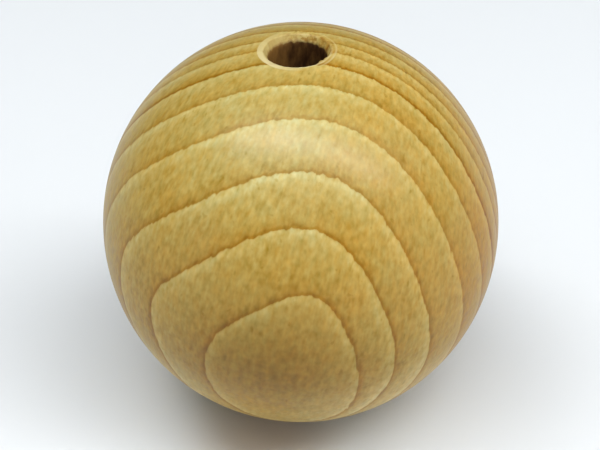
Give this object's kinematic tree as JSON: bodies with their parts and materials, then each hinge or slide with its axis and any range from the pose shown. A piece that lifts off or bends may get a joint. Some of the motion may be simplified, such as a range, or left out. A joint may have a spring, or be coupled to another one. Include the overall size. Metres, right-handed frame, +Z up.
{
  "type": "wooden bead",
  "caption": "Round turned wooden bead with a straight hole drilled right through it, lightly countersunk at both mouths.",
  "frame": {"origin": "on the hole's axis, in the plane of the lower rim that the bead stands on", "axes": "+Z up along the hole, which is also the grain direction; the growth-ring ovals face -Y"},
  "size_m": [0.05, 0.05, 0.05],
  "materials": {
    "beech": "smooth turned and sanded beech with a thin satin finish"
  },
  "bodies": {
    "root": {"bead": "beech"}
  },
  "joints": []
}
